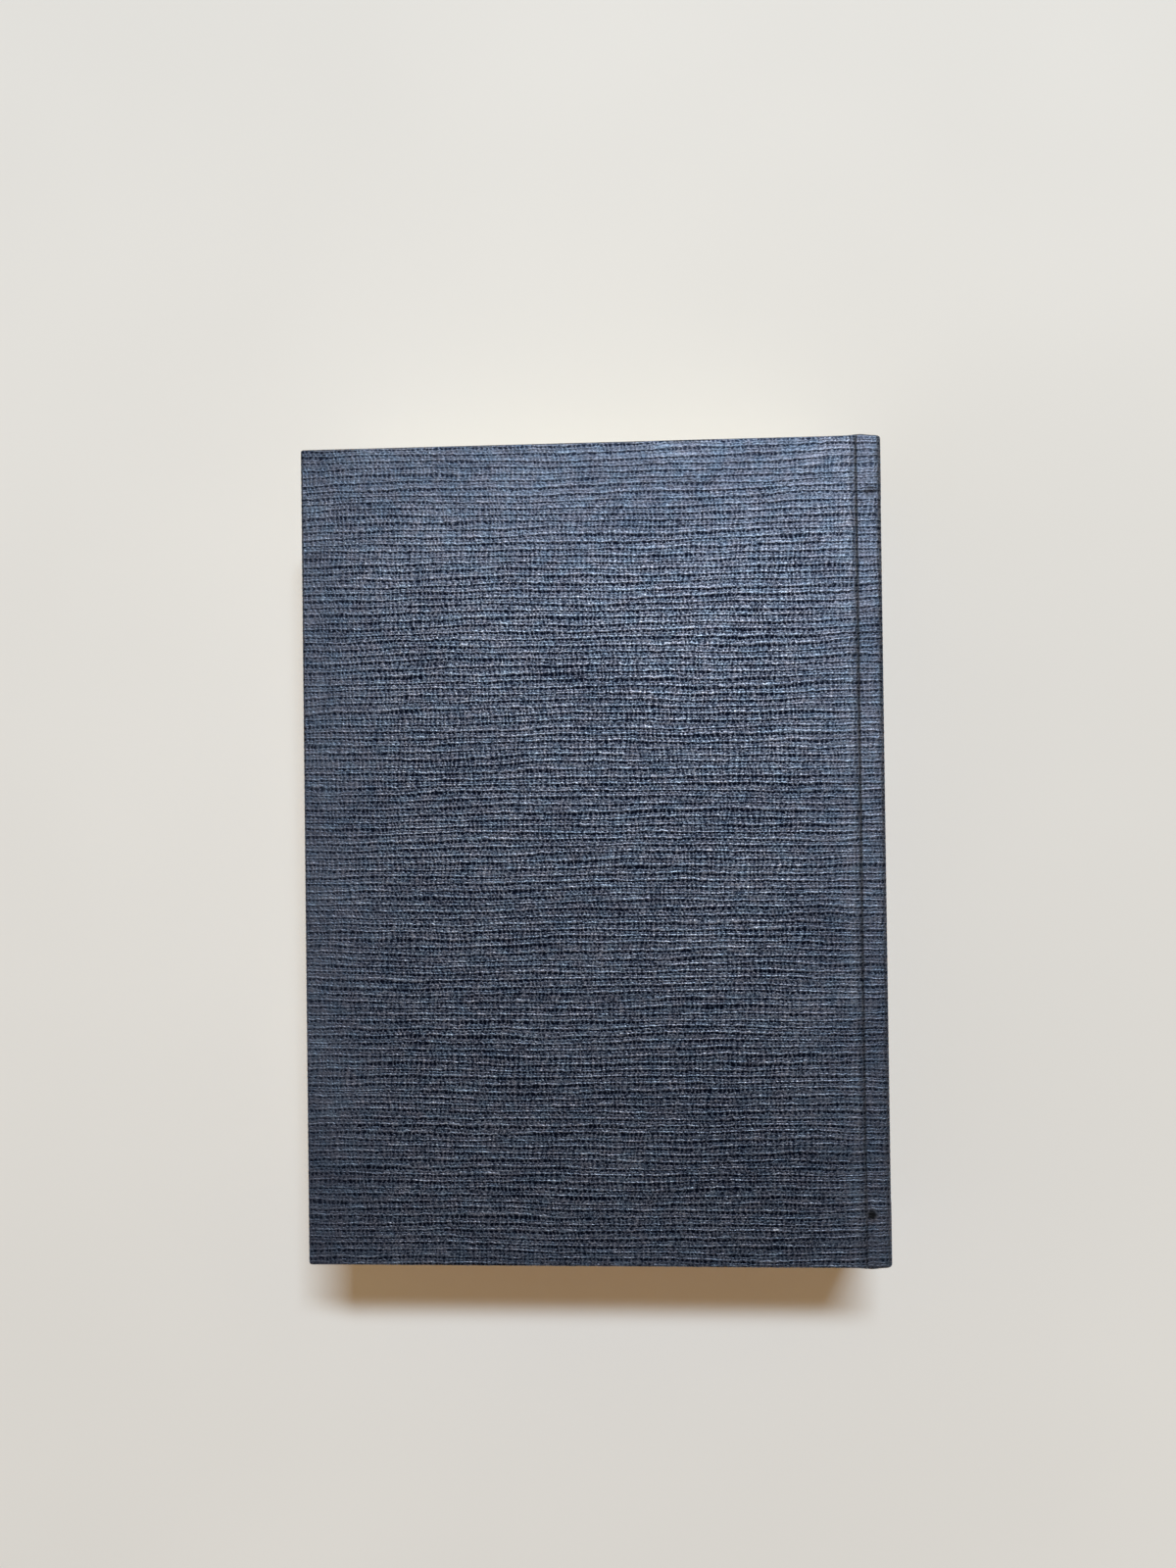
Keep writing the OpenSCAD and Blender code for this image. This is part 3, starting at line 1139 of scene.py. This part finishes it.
    def _finish_mesh(self, vertices: np.ndarray, uvs: np.ndarray, faces: list[Any],
                     woven_count: int) -> bpy.types.Object:
        """Makes the mesh, presses the weave and the spine's ends into it and puts it in place.

        Args:
            vertices: Vertices in the upper half's frame.
            uvs: Place of each in the cloth.
            faces: Faces.
            woven_count: Number of vertices, from the first, that carry the weave.

        Returns:
            The object.
        """
        made = mesh_object(f"{self.side.value}_case_cloth", vertices, faces, self.finish)
        face_outwards(made)
        normals = np.zeros(len(vertices) * 3)
        made.data.vertex_normals.foreach_get("vector", normals)
        moved = self._pressed_points(vertices, uvs, normals.reshape(-1, 3), woven_count)
        made.data.vertices.foreach_set("co", moved.ravel())
        layer = made.data.uv_layers.new(name="cloth")
        corners = np.zeros(len(made.data.loops), int)
        made.data.loops.foreach_get("vertex_index", corners)
        layer.data.foreach_set("uv", uvs[corners].ravel())
        self._store_marks(made, vertices)
        face_outwards(made)
        return made

    def _pressed_points(self, vertices: np.ndarray, uvs: np.ndarray, normals: np.ndarray,
                        woven_count: int) -> np.ndarray:
        """Vertices with the weave, the dent and the spine's ends pressed into them.

        Args:
            vertices: Vertices in the upper half's frame.
            uvs: Place of each in the cloth.
            normals: Normal at each.
            woven_count: Number of vertices, from the first, that carry the weave.

        Returns:
            The vertices in their place, in the half of the book that the cloth belongs to.
        """
        s = self.sizes
        u, v = uvs[:, 0] / MM, uvs[:, 1] / MM
        spine = self._spine_share(vertices)
        ends = self._end_share(np.abs(vertices[:, 1]))
        height = self.weave.relief(u, v) * MM * (1 - self.end_press * spine * ends)
        height += spine * ends * self.end_lift
        height -= self._dents(vertices) * self.dent
        height[woven_count:] = 0.0
        moved = vertices + normals * height[:, None]
        crown = np.exp(-(((vertices[:, 0] - s.hinge_x + self.cap_in) / self.cap_reach) ** 2))
        past_end = np.abs(vertices[:, 1]) - (s.half_h - self.corner)
        near_end = np.clip(past_end / self.corner, 0, 1)
        high = vertices[:, 2] > s.hinge_z - 1.0 * MM
        moved[:, 1] += np.sign(vertices[:, 1]) * crown * near_end * high * self.cap_bulge
        if self.side is Side.LOWER:
            moved[:, 2] = s.top_z - moved[:, 2]
        return moved

    def _store_marks(self, made: bpy.types.Object, vertices: np.ndarray) -> None:
        """Stores where the weave is calm, where a highlight is painted along the board's edge,
        and where the soil speck and the painted shade in the dent lie.

        Args:
            made: The cloth.
            vertices: Vertices in the upper half's frame, before the weave was pressed in.
        """
        s = self.sizes
        spine = self._spine_share(vertices)
        ends = self._end_share(np.abs(vertices[:, 1]))
        to_end, to_head = s.half_h - np.abs(vertices[:, 1]), s.half_h - vertices[:, 1]
        to_side = np.minimum(vertices[:, 0] - s.fore_x, s.spine_x - vertices[:, 0])
        calm = np.clip(1 - to_end / self.calm_ends[0], 0, 1) * self.calm_ends[1]
        calm = np.maximum(calm, np.clip(1 - to_side / self.calm_side, 0, self.calm_most))
        calm = np.maximum(calm, np.clip(self.calm_head[1] - to_head / self.calm_head[0],
                                        0, self.calm_most))
        calm = np.maximum(spine * np.maximum(ends, self.calm_spine), calm)
        self._mark(made, "pressed", calm)
        # Painted highlight: a lighter band on the upper face along the board's edge beside the
        # groove.
        lip = (vertices[:, 0] - (s.cover_x - self.lip_in)) / self.lip_reach
        self._mark(made, "rubbed", np.exp(-(lip ** 2)) * (vertices[:, 2] > s.top_z - 0.5 * MM))
        soil = self._spot(vertices, self.soil_at, self.soil_size)
        soil = np.clip(soil * self.soil_gain[0] + self.soil_gain[1], 0, 1)
        # The dent adds painted shade to the real soil speck.
        self._mark(made, "soiled", soil + self._dents(vertices) * self.dent_shade)

    def _spine_share(self, vertices: np.ndarray) -> np.ndarray:
        """How much each vertex belongs to the spine and its joint, from 0 to 1."""
        start, reach = self.spine_from
        return smooth((vertices[:, 0] - self.sizes.cover_x - start) / reach)

    def _end_share(self, distance: np.ndarray) -> np.ndarray:
        """How much each vertex lies over the doubled cloth at head or tail, from 0 to 1."""
        before, reach = self.double_from
        return smooth((distance - (self.sizes.half_h - self.spine_turn_in) + before) / reach)

    def _spot(self, vertices: np.ndarray, at: Point, size: Point) -> np.ndarray:
        """Soft spot on the upper side, from 0 to 1.

        Args:
            vertices: Vertices in the upper half's frame.
            at: Its place across and along the book.
            size: Its half width and half height.

        Returns:
            Share of the spot at each vertex.
        """
        if self.side is Side.LOWER:
            return np.zeros(len(vertices))
        reach = (((vertices[:, 0] - at[0]) / size[0]) ** 2
                 + ((vertices[:, 1] - at[1]) / size[1]) ** 2)
        return np.exp(-reach) * (vertices[:, 2] > self.sizes.hinge_z)

    def _dents(self, vertices: np.ndarray) -> np.ndarray:
        """Dent in the upper shoulder where the doubled cloth at the head ends."""
        return self._spot(vertices, self.dent_at, self.dent_size)

    def _mark(self, made: bpy.types.Object, name: str, values: np.ndarray) -> None:
        """Stores one value for each vertex.

        Args:
            made: The cloth.
            name: Name that the finish reads.
            values: The values.
        """
        layer = made.data.attributes.new(name, "FLOAT", "POINT")
        layer.data.foreach_set("value", values.astype(np.float32))

    def attach(self, made: bpy.types.Object) -> None:
        """Bakes the cloth's place into its mesh and hides the imported cloth parts that it
        replaces.

        Args:
            made: The cloth.
        """
        s = self.sizes
        start = (s.cover_x - self.bend_from, 0.0, s.hinge_z)
        end = (s.spine_x - self.crease_in + self.bend_past, 0.0, s.hinge_z)
        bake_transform(made)
        upper = self.side is Side.UPPER
        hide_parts(f"{self.side.value}_cloth", *(["spine_cloth"] if upper else []))
        flat, area = self.cut()
        [f"{self.side.value}_board"] + (["spine_board"] if upper else [])

    def cut(self) -> tuple[Point, float]:
        """Size of the cloth before it was glued down.

        Returns:
            Its flat width and length, and its area less the cut corners.
        """
        s = self.sizes
        over = s.top_z - s.turn_z + self.cover_turn_in
        width = float(self.section().lines()[2][-1]) + self.corner + over
        length = 2 * (s.half_h + over)
        return (width, length), width * length - 2 * (over ** 2 + self.cover_turn_in ** 2)


# Inside of the book

def plain_copy(made: bpy.types.Object, name: str) -> bpy.types.Object:
    """Turns an object's evaluated shape into a plain mesh object and removes the first one.

    Args:
        made: Object with its modifiers.
        name: Name of the new object.

    Returns:
        The new object.
    """
    graph = bpy.context.evaluated_depsgraph_get()
    mesh = bpy.data.meshes.new_from_object(made.evaluated_get(graph), depsgraph=graph)
    bpy.data.objects.remove(made)
    return new_object(name, mesh)


class Tree:
    """A Geometry Nodes tree built in the script."""

    def __init__(self, name: str, inputs: dict[str, str]) -> None:
        """Starts a tree.

        Args:
            name: The tree's name.
            inputs: Name and socket type of each input.
        """
        self.tree = bpy.data.node_groups.new(name, "GeometryNodeTree")
        new_socket = self.tree.interface.new_socket
        self.ids = {key: new_socket(key, in_out="INPUT", socket_type=kind).identifier
                    for key, kind in inputs.items()}
        new_socket("Geometry", in_out="OUTPUT", socket_type="NodeSocketGeometry")
        self.source = self.tree.nodes.new("NodeGroupInput")
        self.target = self.tree.nodes.new("NodeGroupOutput")

    def node(self, kind: str, settings: dict[str, Any] | None = None,
             inputs: dict[Any, Any] | None = None) -> bpy.types.Node:
        """Adds a node.

        Args:
            kind: The node's full type name.
            settings: Attributes to set first.
            inputs: Values or output sockets by input name or number.

        Returns:
            The node.
        """
        made = self.tree.nodes.new(kind)
        for key, value in (settings or {}).items():
            setattr(made, key, value)
        for key, value in (inputs or {}).items():
            if isinstance(value, bpy.types.NodeSocket):
                self.tree.links.new(value, made.inputs[key])
            else:
                made.inputs[key].default_value = value
        return made

    def given(self, name: str) -> bpy.types.NodeSocket:
        """Output socket that carries a named input."""
        return self.source.outputs[name]

    def upright_line(self, count: str, start: str) -> bpy.types.NodeSocket:
        """Points above each other, one pitch apart.

        Args:
            count: Name of the input with their number.
            start: Name of the input with the lowest point.

        Returns:
            The points.
        """
        lift = self.node("ShaderNodeCombineXYZ", inputs={"Z": self.given("Pitch")})
        line = self.node("GeometryNodeMeshLine",
                         inputs={"Count": self.given(count), "Start Location": self.given(start),
                                 "Offset": lift.outputs[0]})
        return line.outputs[0]

    def repeat(self, shape: bpy.types.Node, points: bpy.types.NodeSocket) -> bpy.types.NodeSocket:
        """Puts a shape on each point.

        Args:
            shape: Node that makes the shape.
            points: The points.

        Returns:
            The shapes.
        """
        stack = self.node("GeometryNodeInstanceOnPoints",
                          inputs={"Points": points, "Instance": shape.outputs[0]})
        return stack.outputs[0]

    def end(self, geometry: bpy.types.NodeSocket, material: bpy.types.Material) -> None:
        """Ends the tree in real geometry with a material.

        Args:
            geometry: Output socket with the geometry.
            material: Its material.
        """
        real = self.node("GeometryNodeRealizeInstances", inputs={"Geometry": geometry})
        dressed = self.node("GeometryNodeSetMaterial",
                            inputs={"Geometry": real.outputs[0], "Material": material})
        self.tree.links.new(dressed.outputs[0], self.target.inputs[0])

    def run(self, name: str, values: dict[str, Any]) -> bpy.types.Object:
        """Runs the tree and gives its result as a plain mesh object.

        Args:
            name: Name of the object.
            values: Value of each named input.

        Returns:
            The object.
        """
        holder = new_object(name + "_maker", bpy.data.meshes.new(name + "_maker"))
        modifier = holder.modifiers.new("maker", "NODES")
        modifier.node_group = self.tree
        for key, value in values.items():
            modifier[self.ids[key]] = value
        return plain_copy(holder, name)


@dataclass
class TextBlock:
    """The trimmed leaves, a little uneven where they were cut."""

    finish: bpy.types.Material
    leaves: int = 152
    uneven: float = 0.05 * MM
    leaf_share: float = 0.9
    seed: int = 7

    def build(self) -> bpy.types.Object:
        """Builds the stack of leaves.

        Returns:
            The leaves as one object.
        """
        low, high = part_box("text_block")
        size = high - low
        pitch = size.z / self.leaves
        tree = Tree("leaf_stack", {"Leaves": "NodeSocketInt", "Pitch": "NodeSocketFloat",
                                   "Leaf": "NodeSocketVector", "Low": "NodeSocketVector",
                                   "Uneven": "NodeSocketVector"})
        line = tree.upright_line("Leaves", "Low")
        stray = tree.node("FunctionNodeRandomValue", {"data_type": "FLOAT_VECTOR"},
                          {1: tree.given("Uneven"), "Seed": self.seed})
        back = tree.node("ShaderNodeVectorMath", {"operation": "SCALE"},
                         {0: tree.given("Uneven"), "Scale": -1.0})
        tree.tree.links.new(back.outputs[0], stray.inputs[0])
        moved = tree.node("GeometryNodeSetPosition",
                          inputs={"Geometry": line, "Offset": stray.outputs[0]})
        leaf = tree.node("GeometryNodeMeshCube", inputs={"Size": tree.given("Leaf")})
        tree.end(tree.repeat(leaf, moved.outputs[0]), self.finish)
        centre = (low + high) / 2
        made = tree.run("page_leaves", {
            "Leaves": self.leaves, "Pitch": pitch,
            "Leaf": (size.x - 2 * self.uneven, size.y - 2 * self.uneven, pitch * self.leaf_share),
            "Low": (centre.x, centre.y, low.z + pitch / 2),
            "Uneven": (self.uneven, self.uneven, 0.0)})
        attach(made, "book_block")
        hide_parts("text_block")
        return made


@dataclass
class Band:
    """Sewn bead across one end of the pages."""

    node: str
    finish: bpy.types.Material
    turns: int = 38
    thread: float = 0.3 * MM
    radius: float = 0.8 * MM
    ring_sides: int = 20
    thread_sides: int = 8

    def build(self) -> bpy.types.Object:
        """Builds the turns of thread round the bead.

        Returns:
            The turns as one object.
        """
        low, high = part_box(self.node)
        outside = 1.0 if high.y > abs(low.y) else -1.0
        end_y = high.y if outside > 0 else low.y
        centre = Vector((low.x + self.radius, end_y - outside * self.radius, low.z))
        height = high.z - low.z
        tree = Tree(self.node + "_turns", {"Turns": "NodeSocketInt", "Pitch": "NodeSocketFloat",
                                           "Start": "NodeSocketVector", "Ring": "NodeSocketFloat",
                                           "Thread": "NodeSocketFloat"})
        ring = tree.node("GeometryNodeCurvePrimitiveCircle",
                         inputs={"Resolution": self.ring_sides, "Radius": tree.given("Ring")})
        profile = tree.node("GeometryNodeCurvePrimitiveCircle",
                            inputs={"Resolution": self.thread_sides,
                                    "Radius": tree.given("Thread")})
        turn = tree.node("GeometryNodeCurveToMesh",
                         inputs={"Curve": ring.outputs[0], "Profile Curve": profile.outputs[0]})
        tree.end(tree.repeat(turn, tree.upright_line("Turns", "Start")), self.finish)
        pitch = height / self.turns
        made = tree.run(self.node + "_thread", {
            "Turns": self.turns, "Pitch": pitch,
            "Start": (centre.x, centre.y, centre.z + pitch / 2),
            "Ring": self.radius - self.thread, "Thread": self.thread})
        made.data.polygons.foreach_set("use_smooth", [True] * len(made.data.polygons))
        face_outwards(made)
        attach(made, "book_block")
        return made


@dataclass
class EndpaperJoint:
    """Strip of the endpaper that crosses a joint, from the pasted half to the free leaf."""

    side: Side
    sizes: CaseSizes
    finish: bpy.types.Material
    on_cover: float = 3.0 * MM
    on_leaf: float = 0.3 * MM
    slope: float = 1.4 * MM
    turn_in: float = 14 * MM
    under_paste: float = 0.2 * MM
    thick: float = 0.07 * MM
    lift: float = 0.02 * MM
    steps: tuple[int, int] = (30, 60)

    def build(self) -> bpy.types.Object:
        """Builds the strip.

        Returns:
            The strip's object.
        """
        s = self.sizes
        leaf_low, leaf_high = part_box("upper_flyleaf")
        _, paste_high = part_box("upper_pastedown")
        rest_z = leaf_high.z + self.lift
        start_x, end_x = s.cover_x - self.on_cover, s.cover_x + self.on_leaf
        xs = np.linspace(start_x, end_x, self.steps[0])
        ys = np.linspace(leaf_low.y, leaf_high.y, self.steps[1])
        turned = s.half_h - self.turn_in
        rise = smooth((start_x + self.slope - xs) / self.slope)
        room = np.clip((turned - np.abs(ys)) / MM, 0, 1)
        gap = (paste_high.z - self.under_paste) - rest_z - self.thick
        bottom = rest_z + rise[:, None] * room[None] * gap
        grid_x, grid_y = np.meshgrid(xs, ys, indexing="ij")
        lower = np.stack([grid_x, grid_y, bottom], axis=-1).reshape(-1, 3)
        upper = lower + np.array([0.0, 0.0, self.thick])
        vertices = np.concatenate([lower, upper])
        if self.side is Side.LOWER:
            vertices[:, 2] = s.top_z - vertices[:, 2]
        made = mesh_object(f"{self.side.value}_endpaper_joint", vertices,
                           shell_faces(len(xs), len(ys)), self.finish)
        face_outwards(made)
        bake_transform(made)
        return made


def shell_faces(rows: int, columns: int) -> list[list[int]]:
    """Faces of a closed sheet of two like grids, the lower one first.

    Args:
        rows: Vertices along the first way of each grid.
        columns: Vertices along the second way.

    Returns:
        The faces.
    """
    index = np.arange(rows * columns).reshape(rows, columns)
    top = index + rows * columns
    faces = grid_quads(index) + grid_quads(top)
    loop = [*index[:, 0], *index[-1, 1:], *index[-2::-1, -1], *index[0, -2:0:-1]]
    for here, there in zip(loop, loop[1:] + loop[:1]):
        faces.append([int(here), int(there), int(there) + rows * columns,
                      int(here) + rows * columns])
    return faces


# Studio

@dataclass(frozen=True)
class Studio:
    """Camera, table and soft light."""

    eye: Place = (9.95 * MM, 11.12 * MM, 246.95 * MM)
    turn_deg: tuple[float, float, float] = (0.443, 2.783, -0.720)
    lens: float = 27.0
    table_half: float = 1.6
    key_way_deg: Point = (54.0, 11.5)
    key_distance: float = 3.0
    key_size: Point = (1.15, 0.32)
    key_power: float = 82.0
    key_colour: Colour = (0.775, 0.905, 0.965)
    top_height: float = 1.5
    top_size: float = 0.5
    top_power: float = 5.2
    top_colour: Colour = (1.0, 0.52, 0.12)
    room_near: Colour = (0.212, 0.178, 0.090)
    room_far: Colour = (0.156, 0.177, 0.252)
    backdrop: Colour = (0.76, 0.755, 0.735)
    glow_lean: float = 0.45
    glow_spread: Point = (1.1, 0.83)
    glow_most: float = 1.3
    glow_fall: Point = (1.95, 1.5)
    tone_way: Point = (-0.6, 0.5)

    def camera(self) -> None:
        """Places the camera as the photograph was taken."""
        data = bpy.data.cameras.new("camera")
        data.lens = self.lens
        data.clip_start = 0.01
        made = new_object("camera", data)
        made.location = self.eye
        made.rotation_euler = Euler([math.radians(a) for a in self.turn_deg])
        bpy.context.scene.camera = made

    def table(self) -> None:
        """Lays the pale table."""
        r = self.table_half
        made = mesh_object("table", [(-r, -r, 0), (r, -r, 0), (r, r, 0), (-r, r, 0)],
                           [[0, 1, 2, 3]], TableTop().material(), smooth=False)

    def lamp(self, name: str, place: Vector, size: Point, power: float,
             colour: Colour) -> bpy.types.Object:
        """Adds a soft lamp that faces the book.

        Args:
            name: The lamp's name.
            place: Where it hangs.
            size: Its width and height.
            power: Its power in watts.
            colour: Its linear colour.

        Returns:
            The lamp.
        """
        data = bpy.data.lights.new(name, "AREA")
        data.shape = "RECTANGLE"
        data.size, data.size_y = size
        data.energy = power
        data.color = colour
        made = new_object(name, data)
        made.location = place
        made.rotation_euler = (-place).to_track_quat("-Z", "Y").to_euler()
        return made

    def light(self) -> None:
        """Hangs the window light, the weak warm lamp above and the dim room."""
        height, side = (math.radians(a) for a in self.key_way_deg)
        way = Vector((math.cos(height) * math.sin(side), math.cos(height) * math.cos(side),
                      math.sin(height)))
        self.lamp("window", way * self.key_distance, self.key_size, self.key_power,
                  self.key_colour)
        above = self.lamp("lamp_above", Vector((0, 0, self.top_height)), (self.top_size,) * 2,
                          self.top_power, self.top_colour)
        above.visible_glossy = False
        world = bpy.data.worlds.new("room")
        bpy.context.scene.world = world
        b = Bench("room", world)
        across = b.node("SeparateXYZ", inputs={"Vector": b.node("TexCoord").outputs["Generated"]})
        aside, toward, up = (b.value(across, axis) for axis in "XYZ")
        spread, base = self.glow_spread
        level, fall = self.glow_fall
        glow = ((toward - aside * self.glow_lean) * spread + base).clamp() * self.glow_most
        glow = glow * (level - up * fall)
        tone = b.mix(toward.step(*self.tone_way), self.room_far, self.room_near)
        grey = b.node("CombineColor", inputs={0: glow, 1: glow, 2: glow}).outputs[0]
        walls = b.mix(1.0, tone, grey, "MULTIPLY")
        seen = b.node("LightPath").outputs["Is Camera Ray"]
        ground = b.node("Background", inputs={"Color": b.mix(seen, walls, self.backdrop)})
        b.node("OutputWorld", inputs={"Surface": ground.outputs[0]})

    def build(self) -> None:
        """Sets up the whole studio."""
        self.camera()
        self.table()
        self.light()
        bpy.context.scene.view_settings.view_transform = "Standard"


def dress_nodes(finishes: dict[str, bpy.types.Material]) -> None:
    """Gives each CAD node that stays in sight its finish.

    Args:
        finishes: Material by node name.
    """
    for name, material in finishes.items():
        node = frame["nodes"][name]
        node.data.materials.clear()
        node.data.materials.append(material)
        log.info("dressed %s", name)


def main() -> None:
    """Builds the journal and its studio."""
    logging.basicConfig(level=logging.INFO, format="%(name)s: %(message)s")
    sizes = CaseSizes.from_frame()
    cloth = BookCloth().material()
    endpaper = Paper("endpaper", linear(240, 235, 220)).material()
    pages = Paper("page_paper", linear(238, 230, 208), cut=True).material()
    grey_board = Board("grey_board", linear(160, 152, 138)).material()
    liner = Board("liner_paper", linear(168, 138, 100)).material()
    gauze = Gauze()
    cotton = BandCotton().material()
    dress_nodes({"upper_flyleaf": endpaper, "lower_flyleaf": endpaper, "upper_pastedown": endpaper,
                 "lower_pastedown": endpaper, "upper_board": grey_board, "lower_board": grey_board,
                 "spine_board": grey_board, "spine_mull": gauze.material(), "spine_liner": liner,
                 "head_band": cotton, "tail_band": cotton})
    for side in Side:
        case = CaseCloth(side, sizes, cloth)
        made = case.build()
        case.attach(made)
        log.info("built %s with %d faces", made.name, len(made.data.polygons))
        log.info("built %s", EndpaperJoint(side, sizes, endpaper).build().name)
    log.info("built %s", TextBlock(pages).build().name)
    for node in ("head_band", "tail_band"):
        log.info("built %s", Band(node, cotton).build().name)
    Studio().build()
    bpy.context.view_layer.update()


if __name__ == "__main__":
    main()
